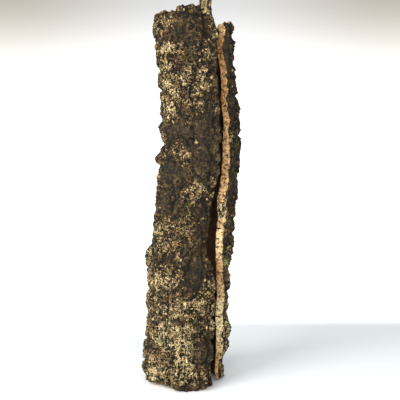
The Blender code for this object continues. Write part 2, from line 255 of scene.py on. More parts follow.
BARE = (
    (344, 0.552, 0.011, 0.015, 0.8), (377, 0.553, 0.006, 0.013, 0.9), (369, 0.387, 0.014, 0.052, 0.9),
    (326, 0.402, 0.03, 0.013, 0.9), (318, 0.338, 0.03, 0.015, 0.9), (373, 0.25, 0.012, 0.036, 1),
    (369, 0.182, 0.018, 0.023, 1), (308, 0.286, 0.034, 0.012, 0.7), (389, 0.06, 0.012, 0.033, 0.8),
    (353, 0.109, 0.008, 0.006, 1), (363, 0.007, 0.018, 0.006, 0.6), (67, 0.507, 0.017, 0.03, 0.7),
    (57, 0.439, 0.011, 0.018, 0.5), (52, 0.285, 0.01, 0.014, 0.6), (66, 0.33, 0.018, 0.036, 0.9),
    (58, 0.15, 0.014, 0.034, 0.9), (72, 0.24, 0.012, 0.016, 0.7), (50, 0.52, 0.01, 0.03, 0.9),
)
CREAM = (
    (377, 0.5355, 0.0035, 0.002, 1), (382, 0.5375, 0.0035, 0.002, 1), (387, 0.541, 0.0035, 0.0022, 1),
    (392, 0.5455, 0.0035, 0.0026, 1), (44, 0.551, 0.004, 0.005, 1),
    (308, 0.022, 0.014, 0.01, 1), (349, 0.052, 0.006, 0.018, 1), (391, 0.592, 0.006, 0.01, 0.8),
    (347, 0.076, 0.005, 0.009, 0.6), (387, 0.561, 0.004, 0.005, 0.8), (293, 0.525, 0.02, 0.005, 0.8),
    (326, 0.516, 0.011, 0.005, 0.7), (302, 0.368, 0.014, 0.003, 0.7), (332, 0.361, 0.01, 0.005, 0.6),
    (360, 0.076, 0.006, 0.006, 0.9), (282, 0.321, 0.01, 0.005, 0.5), (355, 0.135, 0.009, 0.008, 0.8),
    (44, 0.26, 0.006, 0.006, 0.7), (44, 0.28, 0.01, 0.018, 0.9),
)
LICHEN = (
    (350, 0.295, 0.006, 0.012, 0.45), (354, 0.27, 0.006, 0.012, 0.5), (362, 0.252, 0.005, 0.008, 0.5),
    (66, 0.195, 0.014, 0.011, 1), (50, 0.261, 0.011, 0.009, 0.6), (52, 0.278, 0.012, 0.012, 0.4),
    (57, 0.385, 0.008, 0.011, 0.9), (323, 0.076, 0.009, 0.015, 0.9), (276, 0.192, 0.01, 0.014, 0.7),
    (316, 0.193, 0.015, 0.009, 0.4), (368, 0.417, 0.011, 0.011, 0.4), (348, 0.278, 0.008, 0.03, 0.3),
)
MOSSY = (
    (63, 0.207, 0.013, 0.009, 0.9), (51, 0.282, 0.01, 0.012, 0.6), (277, 0.414, 0.01, 0.008, 0.6),
    (52, 0.504, 0.01, 0.033, 0.5), (374, 0.436, 0.013, 0.012, 0.5), (354, 0.52, 0.012, 0.011, 0.3),
    (276, 0.198, 0.01, 0.009, 0.4), (340, 0.211, 0.008, 0.009, 0.4), (386, 0.513, 0.008, 0.012, 0.6),
)
TANNED = (
    (357, 0.554, 0.005, 0.012, 0.7), (300, 0.072, 0.012, 0.009, 0.8), (310, 0.046, 0.012, 0.006, 1),
    (388, 0.013, 0.009, 0.009, 1), (311, 0.575, 0.014, 0.005, 0.7), (317, 0.023, 0.013, 0.008, 0.5),
    (357, 0.309, 0.012, 0.009, 0.7), (374, 0.302, 0.009, 0.009, 0.6), (330, 0.249, 0.011, 0.012, 0.4),
    (337, 0.506, 0.01, 0.009, 0.4),
)
ZONES = {
    "flecked": FLECKED, "bare": BARE, "cream": CREAM, "lichen": LICHEN, "mossy": MOSSY, "tanned": TANNED,
}
ZONE_SEED = 200
ZONE_DRIFT = 0.0035
ZONE_DRIFT_SIZE = 0.01
ZONE_DRIFT_SEEDS = (20, 21)
LOW_FLECKS = 0.36  # what the lower part of the tube adds to the flecks, dying out between two heights
LOW_FLECKS_END = (0.12, 0.42)
STRIP_BARENESS = 0.15

# Patches of each zone on the side that the photo doesn't show: the least angle, height, half-width,
# half-height and strength, how far each goes above it, and the size of the smaller kinds
BACK_PATCHES = 16
BACK_LEAST = (96.0, 0.02, 0.008, 0.008, 0.4)
BACK_RANGE = (176.0, 0.54, 0.018, 0.024, 0.6)
BACK_SIZES = {"cream": 0.35, "lichen": 0.55, "tanned": 0.45, "mossy": 0.6}

# Cut face of the right lip: how pale it is by height
PALENESS = (
    (0.0, 0.28), (0.05, 0.32), (0.072, 0.75), (0.09, 1.0), (0.118, 1.0), (0.138, 0.65), (0.16, 0.35),
    (0.194, 0.25), (0.205, 0.5), (0.25, 0.55), (0.262, 0.28), (0.302, 0.32), (0.32, 0.22), (0.37, 0.25),
    (0.386, 0.2), (0.416, 0.18), (0.438, 0.1), (0.453, 0.0), (0.468, 0.15), (0.483, 0.1), (0.506, 0.0),
    (0.538, 0.05), (0.546, 0.3),
)

# How far bark covers the outer part of the cut face, by height
SKINNED = (
    (0.0, 0.0), (0.055, 0.0), (0.062, 0.36), (0.085, 0.32), (0.095, 0.03), (0.19, 0.03), (0.205, 0.28),
    (0.252, 0.28), (0.262, 0.85), (0.29, 0.8), (0.304, 0.08), (0.435, 0.03), (0.452, 0.22), (0.47, 0.1),
    (0.49, 0.27), (0.532, 0.27), (0.545, 0.0),
)
WORN_EDGE = 0.012  # share of the way round where the crust beside the cut face is worn

# Cross cracks of the cut face by height: those that open towards the hollow, and those towards the crust
HOLLOW_CRACKS = (0.2497, 0.2345, 0.2207, 0.1185, 0.1075)
CRUST_CRACKS = (0.362, 0.347, 0.048, 0.438)
CRACK_DEPTH = 0.0016
CRACK_WIDTH = 0.0013
CRACK_FLARE = (0.35, 0.9)  # share of the width at the closed side, and what the open side adds
CRACK_END = (0.05, 0.45)  # where a crack begins at its closed side, and is full
CRACK_WANDER = 0.0016
CRACK_BENDS = 2.0  # how often a crack bends on its way through the wall
CRACK_APART = 900.0  # keeps the cracks from bending alike
CRACK_SEED = 404
CRACK_WALL = (0.02, 0.98)  # part of the wall's thickness that cracks

# Tip of the bared strip, by height and angle
TIP_FOOT = (0.566, 0.584)
TIP_SIDE = (379.0, 387.0)

# The wall's net: how far its columns crowd towards the lips, and small steps along it, across, up and through
LIP_CROWDING = 0.32
ACROSS_STEP = (0.004, 0.0, 0.0)
RIM_STEP = (0.002, 0.0, 0.0)
UP_STEP = (0.0, 0.004, 0.0)
THROUGH_STEP = (0.0, 0.0, 0.05)

# Chips: half size and half thickness in metres, least and most, how far they lean and sink, and the seed
CHIPS = {
    "bark_flakes": ((0.001, 0.0034), (0.00035, 0.0009), 0.45, -0.2, 504),
    "cork_crumbs": ((0.0007, 0.0022), (0.0004, 0.0011), 0.8, 0.25, 524),
    "lichen_crusts": ((0.001, 0.003), (0.0003, 0.0006), 0.3, -0.1, 544),
}
CHIP_CORNERS = 7
CHIP_UNEVEN = 0.7  # how far a corner wanders, as a share of the way to the next
CHIP_TOP = 0.8  # share of the width at the upper ring
CHIP_PEAK = 1.35  # height of the upper middle, in half thicknesses

# A corner's distance, a chip's slimness and a corner's rise: the least share, and the range above it
CHIP_REACH = (0.55, 0.45)
CHIP_SLIM = (0.35, 0.45)
CHIP_RISE = (0.7, 0.6)

# Where chips lie: how far they keep from the edges of the crust, of the cut face and of the rim
CRUST_MARGINS = (0.012, 0.006)
CRUMB_DEPTH_MARGIN = 0.1
CRUMB_RIM_MARGIN = 0.01
CRUMBS_ON_RIM = 3  # one crumb in this many
CRUMB_PLACE_SEED = 521

# Chance of a flake, less on bare plates and on the strip, its relief, which the finish paints as a highlight
# of raised crust, and the chance and look of a cream one
FLAKE_SEEDS = (501, 502, 503)
FLAKE_CHANCE = 0.62
FLAKES_LESS_BARE = 0.5
FLAKES_LESS_STRIP = 0.35
FLAKE_RELIEF = (0.2, 0.8)
CREAM_FLAKES = (0.02, 0.35)
CREAM_LOOK = 1.4

# Chance of a crust of lichen: what lichen and moss add, and what is taken off
LICHEN_SEEDS = (541, 542)
LICHEN_CHANCE = 0.8
LICHEN_ON_MOSS = 0.5
LICHEN_LESS = 0.12

# Numbers at the vertices that the bark's finish reads
LOOKS = ("relief", "rim", "through", "crack", "paleness", "strip", "edge", "skinned", "furrow", *ZONES)
BARK_FINISH = "cork_bark_finish"

# Stage: floor, lights with their sides, tint and place, and the camera, in metres and degrees
FLOOR_X = (-1.6, 1.6)
FLOOR_Y = (-1.7, 0.43)
FLOOR_END = (0.325, 0.425)
FLOOR_SIDES = (-0.2, 0.12)
FLOOR_SHORTER = 0.16
FLOOR_MOTTLE = 0.985
LIGHTS = {
    "side": ((1.1, 0.9), (1.0, 0.975, 0.94), (-1.3, -1.2, 1.05)),
    "front": ((1.2, 0.9), (1.0, 0.985, 0.96), (0.05, -2.1, 1.25)),
}
LIGHT_TARGET = (0.0, 0.0, 0.25)
HORIZON_TINT = (1.0, 0.998, 0.985, 1.0)
UPPER_TINT = (0.9, 0.965, 1.0, 1.0)
CORNER_TINT = (1.0, 0.92, 0.8, 1.0)
CAMERA_PLACE = (0.0155, -1.29, 0.42)
CAMERA_TILT = 5.76
SENSOR_WIDTH = 36.0


def lattice_random(cells, seed):
    """A repeatable random number from 0 to 1 for each row of whole numbers in cells."""
    value = np.full(cells.shape[:-1], seed * SEED_KEY % 2**32, np.uint32)
    for axis in range(cells.shape[-1]):
        value ^= cells[..., axis].astype(np.int64).astype(np.uint32) * np.uint32(LATTICE_KEYS[axis])
        value ^= value >> np.uint32(15)
        value *= np.uint32(MIX_KEYS[0])
        value ^= value >> np.uint32(12)
        value *= np.uint32(MIX_KEYS[1])
        value ^= value >> np.uint32(15)
    return value / 2.0**32


def smooth_step(low, high, value):
    """0 below low, 1 above high, and 3t^2 - 2t^3 between."""
    share = np.clip((value - low) / (high - low), 0.0, 1.0)
    return share * share * (3.0 - 2.0 * share)


def fade(width, distance):
    """1 at no distance and 0 beyond a width, by the same curve."""
    return 1.0 - smooth_step(0.0, width, distance)


def inset(margin, share):
    """A share of the way that keeps clear of both ends by a margin."""
    return margin + (1.0 - 2.0 * margin) * share


def noise(points, seed):
    """Noise from -1 to 1: random numbers at whole coordinates, blended by smooth weights between them."""
    base = np.floor(points)
    share = points - base
    weight = share * share * share * (share * (share * 6.0 - 15.0) + 10.0)
    axes = points.shape[-1]
    total = np.zeros(points.shape[:-1])
    for corner in range(2**axes):
        step = np.array([(corner >> axis) & 1 for axis in range(axes)])
        total += np.where(step == 1, weight, 1.0 - weight).prod(-1) * lattice_random(base + step, seed)
    return total * 2.0 - 1.0


def noises(points, seeds):
    """One noise for each seed, side by side."""
    return np.stack([noise(points, seed) for seed in seeds], -1)


def layered_noise(points, seed, layers):
    """Noise, plus half as much noise at twice the fineness, and so on."""
    total = np.zeros(points.shape[:-1])
    for layer in range(layers):
        total += noise(points * 2.0**layer + LAYER_SHIFT * layer, seed + layer) / 2.0**layer
    return total


def cell_pattern(points, seed):
    """Cells round scattered points: the nearest one's lead over the next, its number, and the way from it."""
    base = np.floor(points)
    nearest = np.full(points.shape[:-1], FAR_AWAY)
    second = nearest.copy()
    owner = np.zeros(points.shape[:-1])
    way = np.zeros(points.shape)
    for across in (-1, 0, 1):
        for up in (-1, 0, 1):
            cell = base + np.array([across, up])
            spot = np.stack([lattice_random(cell, seed), lattice_random(cell, seed + 1)], -1)
            from_centre = points - (cell + CELL_MARGIN + (1.0 - 2.0 * CELL_MARGIN) * spot)
            gap = np.linalg.norm(from_centre, axis=-1)
            closer = gap < nearest
            second = np.where(closer, nearest, np.minimum(second, gap))
            owner = np.where(closer, lattice_random(cell, seed + 2), owner)
            way = np.where(closer[..., None], from_centre, way)
            nearest = np.where(closer, gap, nearest)
    return second - nearest, owner, way


def profile(pairs, at):
    """A smooth curve through (position, value) pairs: cubic pieces whose slopes agree where they meet."""
    spots, values = np.array(pairs, float).T
    slopes = np.gradient(values, spots)
    at = np.clip(at, spots[0], spots[-1])
    index = np.clip(np.searchsorted(spots, at) - 1, 0, len(spots) - 2)
    width = spots[index + 1] - spots[index]
    t = (at - spots[index]) / width
    return (
        values[index] * (2 * t**3 - 3 * t**2 + 1)
        + values[index + 1] * (3 * t**2 - 2 * t**3)
        + slopes[index] * width * (t**3 - 2 * t**2 + t)
        + slopes[index + 1] * width * (t**3 - t**2)
    )


def broken_line(pairs, at):
    """Straight runs through (position, value) pairs, for a torn edge."""
    spots, values = np.array(pairs, float).T
    return np.interp(at, spots, values)


def arc_from(angle, other):
    """Distance round the bark from one angle to another."""
    return np.radians(angle - other) * ARC_RADIUS


def angle_of(distance):
    """The angle that a distance round the bark spans."""
    return np.degrees(distance / ARC_RADIUS)


def spot_on_bark(angle, height):
    """A place on the unrolled bark: distance round it and height, in metres."""
    return np.stack([arc_from(angle, 0.0), height], -1)


def place_on_tube(across, up, rim_drop):
    """Angle and height from shares of the way across the wall and up it.

    Level rows bend near an end to follow its rim, and columns bend near a lip to follow the lip.
    """
    angle = RIGHT_LIP_MEAN + across * (LEFT_LIP_MEAN - RIGHT_LIP_MEAN)
    level = up * BODY_HEIGHT
    rise = broken_line(TOP_RIM, angle) - rim_drop - BODY_HEIGHT
    height = (
        level
        + rise * smooth_step(BODY_HEIGHT - TOP_RIM_REACH, BODY_HEIGHT, level)
        + broken_line(FOOT_RIM, angle) * fade(FOOT_RIM_REACH, level)
    )
    angle = angle + (profile(RIGHT_LIP, height) - RIGHT_LIP_MEAN) * fade(LIP_SHARE, across)
    angle += (profile(LEFT_LIP, height) - LEFT_LIP_MEAN) * smooth_step(1.0 - LIP_SHARE, 1.0, across)
    return angle, height


def plate_bend(spot):
    """Two slow noises that bend the plates' borders and the ledges."""
    return noises(spot / SWELL_SIZE, BEND_SEEDS)


def plates(spot, bend):
    """Large plates, some higher and some lower, with furrows along their borders."""
    border, owner, _ = cell_pattern(spot / np.array(PLATE_SIZE) + PLATE_BEND * bend, PLATE_SEED)
    inside = smooth_step(0.0, FURROW_EDGE, border)
    return PLATE_LIFT * (2.0 * owner - 1.0) * inside - FURROW_DEPTH * (1.0 - inside)


def bell_sum(angle, height, bumps):
    """Bell curves in both directions, each with its own lift."""
    total = np.zeros(np.shape(angle))
    for bump_angle, bump_height, half_width, half_height, lift in bumps:
        sideways = arc_from(angle, bump_angle) / half_width
        upwards = (height - bump_height) / half_height
        total += lift * np.exp(-(sideways**2) - upwards**2)
    return total


def ledges(angle, height, bend):
    """Thick plates with a sharp upper edge that die out below it and to their sides."""
    total = np.zeros(angle.shape)
    for ledge_angle, edge, half_width, reach, lift in LEDGES:
        sideways = np.abs(arc_from(angle, ledge_angle) + LEDGE_WANDER * bend[..., 1]) / half_width
        below = edge + LEDGE_WANDER * bend[..., 0] - height
        total += (
            lift
            * (1.0 - smooth_step(LEDGE_FLAT_WIDTH, 1.0, sideways))
            * smooth_step(-0.5 * LEDGE_STEP, 0.5 * LEDGE_STEP, below)
            * (1.0 - smooth_step(LEDGE_FLAT_REACH * reach, reach, below))
        )
    return total


def bare_strip(angle, height):
    """1 on the strip that has lost its outer bark, with a step at its foot and another at its side."""
    above_foot = smooth_step(0.0, STRIP_STEP, height - broken_line(STRIP_FOOT, angle))
    return above_foot * smooth_step(0.0, STRIP_SIDE_STEP, angle - profile(STRIP_SIDE, height))


def bark_relief(angle, height):
    """Height of the large relief over the round tube, as in the CAD source."""
    spot = spot_on_bark(angle, height)
    bend = plate_bend(spot)
    rough = plates(spot, bend)
    rough += SWELL_HEIGHT * layered_noise(spot / SWELL_SIZE, SWELL_SEED, layers=3)
    rough += LUMP_HEIGHT * layered_noise(spot / LUMP_SIZE, LUMP_SEED, layers=2)
    rough *= 1.0 - LIP_CALM * fade(LIP_CALM_WIDTH, arc_from(angle, profile(RIGHT_LIP, height)))
    rough = rough + bell_sum(angle, height, KNOBS) + ledges(angle, height, bend)
    return rough - STRIP_DEPTH * bare_strip(angle, height)


def lip_tuck(angle, height):
    """How far the wall is drawn in towards the hollow beside each lip."""
    from_left = arc_from(profile(LEFT_LIP, height), angle)
    from_right = arc_from(angle, profile(RIGHT_LIP, height))
    left = profile(LEFT_TUCK, height) * fade(TUCK_WIDTH, from_left)
    return left + profile(RIGHT_TUCK, height) * fade(TUCK_WIDTH, from_right)


def inner_radius(angle, height):
    """Distance of the smoother inner face from the centre line."""
    spot = spot_on_bark(angle, height)
    wall = WALL_THICKNESS + WALL_SWELL * layered_noise(spot / WALL_SWELL_SIZE, WALL_SEED, layers=2)
    ribs = INNER_RIB * noise(spot / np.array(INNER_RIB_SIZE), RIB_SEED)
    return profile(RADIUS, height) - wall - ribs - TUCK_INSIDE * lip_tuck(angle, height)


def back_patches(name, seed):
    """Patches of a zone on the hidden side: the least values, and random shares of the ranges above them."""
    cells = np.stack([np.arange(BACK_PATCHES), np.full(BACK_PATCHES, seed)], -1)
    roll = np.stack([lattice_random(cells, seed * 10 + column) for column in range(len(BACK_LEAST))], -1)
    patches = np.array(BACK_LEAST) + np.array(BACK_RANGE) * roll
    patches[:, 2:4] *= BACK_SIZES.get(name, 1.0)
    return patches


def zone_strength(name, angle, height):
    """How strongly a zone's look shows: the bell curves of its patches, with a ragged edge, from 0 to 1."""
    seed = ZONE_SEED + list(ZONES).index(name)
    patches = [*ZONES[name], *back_patches(name, seed)]
    spot = spot_on_bark(angle, height)
    drift = ZONE_DRIFT * noises(spot / ZONE_DRIFT_SIZE, [seed + more for more in ZONE_DRIFT_SEEDS])
    soft = bell_sum(angle + angle_of(drift[..., 0]), height + drift[..., 1], patches)
    return np.clip(soft, 0.0, 1.0)


def cell_height(inside, owner, lean, lift, tilt, crack):
    """A cell's own lift less its tilt times its lean where inside is 1, and the crack round it where 0."""
    return (lift * (2.0 * owner - 1.0) - tilt * lean) * inside - crack * (1.0 - inside)


def scales(spot, warp):
    """Scales that lean outwards at their foot, and how much a point lies on the worn upper end of one.

    The worn end is 4 s (1 - s) for the scale's own step s, on the upper half of the higher scales.
    """
    lead, owner, way = cell_pattern(spot / np.array(SCALE_SIZE) + SCALE_WARP * warp, SCALE_SEED)
    inside = smooth_step(0.0, SCALE_EDGE, lead)
    lean = way[..., 1] + SCALE_TURN * (owner - 0.5) * way[..., 0]
    rim = 4.0 * inside * (1.0 - inside) * smooth_step(*WORN_END, way[..., 1])
    rim *= smooth_step(*WORN_SCALES, owner)
    return cell_height(inside, owner, lean, SCALE_LIFT, SCALE_TILT, SCALE_CRACK), rim


def crumbs(spot, warp):
    """Small crumbs that lean every way, by two random numbers made from each crumb's own."""
    lead, owner, way = cell_pattern(spot / np.array(CRUMB_SIZE) + CRUMB_WARP * warp, CRUMB_SEED)
    inside = smooth_step(0.0, CRUMB_EDGE, lead)
    lean = sum((owner * turn % 1.0 - 0.5) * way[..., axis] for axis, turn in enumerate(CRUMB_TURNS))
    return cell_height(inside, owner, lean, CRUMB_LIFT, CRUMB_TILT, CRUMB_CRACK)


def crust_relief(angle, height, bare):
    """Fine relief of the crust, calmer where it is bare, and how much a point lies on a scale's worn end."""
    spot = spot_on_bark(angle, height)
    warp = noises(spot / WARP_SIZE, WARP_SEEDS)
    scaly, rim = scales(spot, warp)
    ridge = np.abs(layered_noise(spot / np.array(FISSURE_SIZE) + FISSURE_WARP * warp, FISSURE_SEED, layers=2))
    fissures = -FISSURE_DEPTH * fade(FISSURE_EDGE, ridge)
    grit = GRIT_HEIGHT * layered_noise(spot / GRIT_SIZE, GRIT_SEED, layers=2)
    for_scales, for_crumbs, for_fissures = (1.0 - share * bare for share in BARE_CALM)
    rough = for_scales * scaly + for_crumbs * (crumbs(spot, warp) + grit) + for_fissures * fissures
    return rough + CRUST_FILL * for_fissures, rim * (1.0 - bare)


def outer_radius(angle, height, fine):
    """Distance of the crust from the centre line."""
    rough = profile(RADIUS, height) + bark_relief(angle, height) - lip_tuck(angle, height) + fine
    return np.maximum(rough, inner_radius(angle, height) + THINNEST_WALL)


def on_axis(angle, height, radius):
    """World place of a radius at an angle and height: the centre line's place plus radius (sin, -cos)."""
    x = profile(CENTRE_X, height) + radius * np.sin(np.radians(angle))
    y = profile(CENTRE_Y, height) - radius * np.cos(np.radians(angle))
    return np.stack([x, y, height], -1)


def spread(share):
    """Shares across the wall with closer columns towards both lips: s - k sin(2 pi s) / (2 pi)."""
    return share - LIP_CROWDING * np.sin(2.0 * np.pi * share) / (2.0 * np.pi)


def cross_cracks(height, through):
    """Cracks across the cut face: bell curves about wandering levels, wider and deeper to their open side."""
    crack = np.zeros(height.shape)
    for levels, opened in ((HOLLOW_CRACKS, through), (CRUST_CRACKS, 1.0 - through)):
        width = CRACK_WIDTH * (CRACK_FLARE[0] + CRACK_FLARE[1] * opened)
        for level in levels:
            along = np.stack([through * CRACK_BENDS, np.full(height.shape, level * CRACK_APART)], -1)
            middle = level + CRACK_WANDER * noise(along, CRACK_SEED)
            bell = np.exp(-(((height - middle) / width) ** 2))
            crack = np.maximum(crack, bell * smooth_step(*CRACK_END, opened))
    return crack


def edges_of_wall(across, up, through):
    """Angle and height of the wall's points with its torn rim and lips, its cut grain and its cracks.

    The grain of a cut or torn face swells in the middle of the wall as sin(pi through). Also each point's
    spot on the even bark, how near a lip it is, and how deep a crack lies there.
    """
    angle, height = place_on_tube(across, up, RIM_SLOPE * through)
    spot = spot_on_bark(angle, height)
    at_lip = (across <= 0.0) | (across >= 1.0)
    top_near = smooth_step(BODY_HEIGHT - RIM_TEAR_REACH, BODY_HEIGHT, up * BODY_HEIGHT)
    torn = layered_noise(spot[..., :1] / RIM_TEAR_SIZE, RIM_TEAR_SEED, layers=3)
    height = height + RIM_TEAR * top_near * torn
    lip_near = fade(LIP_TEAR_SHARE, np.minimum(across, 1.0 - across))
    torn = layered_noise(spot[..., 1:] / LIP_TEAR_SIZE, LIP_TEAR_SEED, layers=3)
    angle = angle + angle_of(LIP_TEAR * lip_near * torn)
    along = np.where(at_lip, height, spot[..., 0]) / CUT_GRAIN_SIZE
    grain = layered_noise(np.stack([along, through * CUT_GRAIN_ROWS], -1), CUT_GRAIN_SEED, layers=2)
    grain = CUT_GRAIN * grain * np.sin(np.pi * through)
    crack = cross_cracks(height, through)
    crack *= (across <= 0.0) & (through > CRACK_WALL[0]) & (through < CRACK_WALL[1])
    outwards = np.where(across < 0.5, -1.0, 1.0) * at_lip
    angle = angle + outwards * angle_of(grain - CRACK_DEPTH * crack)
    height = np.maximum(height + (up >= 1.0) * grain * RIM_GRAIN, 0.0)
    return angle, height, spot, lip_near, crack


def shape_of_wall(across, up, through):
    """Points of the wall, through it from the crust at 0 to the hollow at 1, and what its finish reads.

    Across and up give the angle and height. Between crust and hollow the radius runs straight.
    """
    angle, height, spot, lip_near, crack = edges_of_wall(across, up, through)
    looks = {name: zone_strength(name, angle, height) for name in ZONES}
    strip = bare_strip(angle, height)
    looks["bare"] = np.clip(looks["bare"] + STRIP_BARENESS * strip, 0.0, 1.0)
    low = 1.0 - smooth_step(*LOW_FLECKS_END, height)
    looks["flecked"] = np.clip(looks["flecked"] + LOW_FLECKS * low, 0.0, 1.0)
    fine, looks["rim"] = crust_relief(angle, height, looks["bare"])
    fine *= 1.0 - LIP_FINE * lip_near
    looks["relief"] = np.clip(fine / FULL_RELIEF, -1.0, 1.0)
    looks["furrow"] = np.clip(-plates(spot, plate_bend(spot)) / FURROW_DEPTH, 0.0, 1.0)
    looks["strip"] = strip * (smooth_step(*TIP_FOOT, height) * (1.0 - smooth_step(*TIP_SIDE, angle)))
    looks["edge"] = fade(WORN_EDGE, across)
    looks |= {"through": through, "crack": crack}
    looks |= {"paleness": profile(PALENESS, height), "skinned": profile(SKINNED, height)}
    crust = outer_radius(angle, height, fine)
    radius = crust + (inner_radius(angle, height) - crust) * through
    return on_axis(angle, height, radius), looks


def grid_of(first, second):
    """Both numbers of every pair from two ranges, laid out as a grid."""
    return np.meshgrid(first, second, indexing="ij")


def sheet_faces(index):
    """Faces of a grid of vertex numbers. Corner faces that closed up to a line are left out."""
    quads = np.stack([index[:-1, :-1], index[1:, :-1], index[1:, 1:], index[:-1, 1:]], -1).reshape(-1, 4)
    ordered = np.sort(quads, -1)
    return quads[(ordered[:, 1:] != ordered[:, :-1]).all(-1)]


def both(first, second):
    """Two sets of points or frames with their looks, one after the other."""
    looks = {look: np.concatenate([first[1][look], second[1][look]]) for look in first[1]}
    return np.concatenate([first[0], second[0]], -2), looks


def make_mesh(name, points, faces, looks):
    """A mesh from arrays, with each look as a number at its vertices."""
    mesh = bpy.data.meshes.new(name)
    mesh.from_pydata(points.tolist(), [], faces.tolist())
    for look, values in looks.items():
        numbers = np.ravel(values).astype(np.float32)
        mesh.attributes.new(look, "FLOAT", "POINT").data.foreach_set("value", numbers)
    return mesh


def add_object(name, data):
    """A new object, linked to the scene."""
    made = bpy.data.objects.new(name, data)
    bpy.context.scene.collection.objects.link(made)
    return made


def add_piece(name, mesh, material, replaced=()):
    """Puts a finished mesh into the scene with the given material, riding on the tube, and hides the CAD
    parts that it replaces.
    """
    mesh.materials.append(material)
    piece = add_object(name, mesh)
    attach(piece, "root")
    if replaced:
        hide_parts(*replaced)


def outer_net(columns, rows, steps):
    """The net over the crust, which goes on past each edge for some steps through the wall."""
    i, j = grid_of(range(-steps, columns + steps + 1), range(-steps, rows + steps + 1))
    past = np.maximum.reduce([-i, i - columns, -j, j - rows, np.zeros_like(i)])
    keys = np.stack([np.clip(i, 0, columns), np.clip(j, 0, rows), past], -1).reshape(-1, 3)
    unique, index = np.unique(keys, axis=0, return_inverse=True)
    across, up, through = (unique / np.array([columns, rows, steps + 1.0])).T
    return shape_of_wall(spread(across), up, through), sheet_faces(index.reshape(i.shape))


def inner_net(columns, rows):
    """The coarser net over the hollow's side, with its faces turned the other way."""
    i, j = grid_of(range(columns + 1), range(rows + 1))
    shape = shape_of_wall(spread(i.ravel() / columns), j.ravel() / rows, np.ones(i.size))
    return shape, sheet_faces(np.arange(i.size).reshape(i.shape))[:, ::-1]


def wall_mesh(columns, rows, steps):
    """The bark as one closed skin: the outer net, an inner one of half its fineness, and a bridge between."""
    outer, outer_faces = outer_net(columns, rows, steps)
    inner, inner_faces = inner_net(columns // 2, rows // 2)
    points, looks = both(outer, inner)
    faces = np.concatenate([outer_faces, inner_faces + len(outer[0])])
    mesh = make_mesh("bark_wall", points, faces, looks)
    bm = bmesh.new()
    bm.from_mesh(mesh)
    bmesh.ops.bridge_loops(bm, edges=[edge for edge in bm.edges if edge.is_boundary])
    bmesh.ops.recalc_face_normals(bm, faces=bm.faces)
    open_edges = sum(not edge.is_manifold for edge in bm.edges)
    bm.to_mesh(mesh)
    bm.free()
    if open_edges:
        raise RuntimeError(f"the bark's skin has {open_edges} open edges")
    mesh.shade_smooth()
    return mesh


def unit(vectors):
    """Each vector at length 1."""
    return vectors / np.linalg.norm(vectors, axis=-1, keepdims=True)


def local_frames(across, up, through, first, second):
    """Frames on the wall, each a place and three directions, with what the finish reads there.

    The first two directions follow small steps of (across, up, through), the third is their cross product,
    and the second is then set square to both.
    """
    at, looks = shape_of_wall(across, up, through)
    along, slanted = (
        unit(shape_of_wall(across + step[0], up + step[1], through + step[2])[0] - at)
        for step in (first, second)
    )
    out = unit(np.cross(along, slanted))
    return np.stack([at, along, np.cross(out, along), out]), looks


def draws(count, columns, seed):
    """Repeatable random numbers from 0 to 1 in rows and columns."""
    return lattice_random(np.stack(grid_of(range(count), range(columns)), -1), seed)


def chip_axes(along, beside, out, tilt, roll):
    """Three directions of each chip: its frame turned about its upright, which leans by the tilt."""
    lean = unit(out + tilt * ((roll[:, :1] * 2 - 1) * along + (roll[:, 1:2] * 2 - 1) * beside))
    turn = roll[:, 2:3] * 2.0 * np.pi
    one = np.cos(turn) * along + np.sin(turn) * beside
    one = unit(one - (one * lean).sum(-1, keepdims=True) * lean)
    return one, np.cross(lean, one), lean


def chip_points(size, thick, sink, roll, seed):
    """Points of each chip along its own directions: an upper and a lower ring of corners, and their middles.

    Corners lie at uneven turns and distances, and the whole chip sinks a share of its thickness.
    """
    count = len(size)
    turn = np.arange(CHIP_CORNERS) + CHIP_UNEVEN * draws(count, CHIP_CORNERS, seed + 1)
    corner = turn * 2.0 * np.pi / CHIP_CORNERS
    reach = size * (CHIP_REACH[0] + CHIP_REACH[1] * draws(count, CHIP_CORNERS, seed + 2))
    x = reach * np.cos(corner)
    y = reach * np.sin(corner) * (CHIP_SLIM[0] + CHIP_SLIM[1] * roll[:, 5:6])
    rise = thick * (CHIP_RISE[0] + CHIP_RISE[1] * draws(count, CHIP_CORNERS, seed + 3))
    zero = np.zeros((count, 1))
    x, y = (np.concatenate([side * CHIP_TOP, side, zero, zero], -1) for side in (x, y))
    z = np.concatenate([rise, -rise, CHIP_PEAK * thick, -thick], -1) - sink * thick
    return x, y, z


def chip_faces():
    """Triangles of one chip: to the upper middle, round the sides, and to the lower middle."""
    high = np.arange(CHIP_CORNERS)
    high_next = (high + 1) % CHIP_CORNERS
    low, low_next = high + CHIP_CORNERS, high_next + CHIP_CORNERS
    top = np.full_like(high, 2 * CHIP_CORNERS)
    sides = ((low, low_next, high_next), (low, high_next, high))
    corners = ((high, high_next, top), *sides, (low_next, low, top + 1))
    return np.concatenate([np.stack(corner, -1) for corner in corners])


def chips_mesh(name, frames):
    """Angular chips at local frames, from small to large by the square of a random number."""
    half_size, half_thickness, tilt, sink, seed = CHIPS[name]
    (at, along, beside, out), looks = frames
    roll = draws(len(at), 6, seed)
    size = half_size[0] + (half_size[1] - half_size[0]) * roll[:, 3:4] ** 2
    thick = half_thickness[0] + (half_thickness[1] - half_thickness[0]) * roll[:, 4:5]
    sides = chip_points(size, thick, sink, roll, seed)
    points = at[:, None]
    for side, axis in zip(sides, chip_axes(along, beside, out, tilt, roll)):
        points = points + side[..., None] * axis[:, None]
    points[..., 2] = np.maximum(points[..., 2], 0.0)
    corners = points.shape[1]
    faces = chip_faces()[None] + (np.arange(len(at)) * corners)[:, None, None]
    looks = {look: np.repeat(values, corners) for look, values in looks.items()}
    return make_mesh(name, points.reshape(-1, 3), faces.reshape(-1, 3), looks)


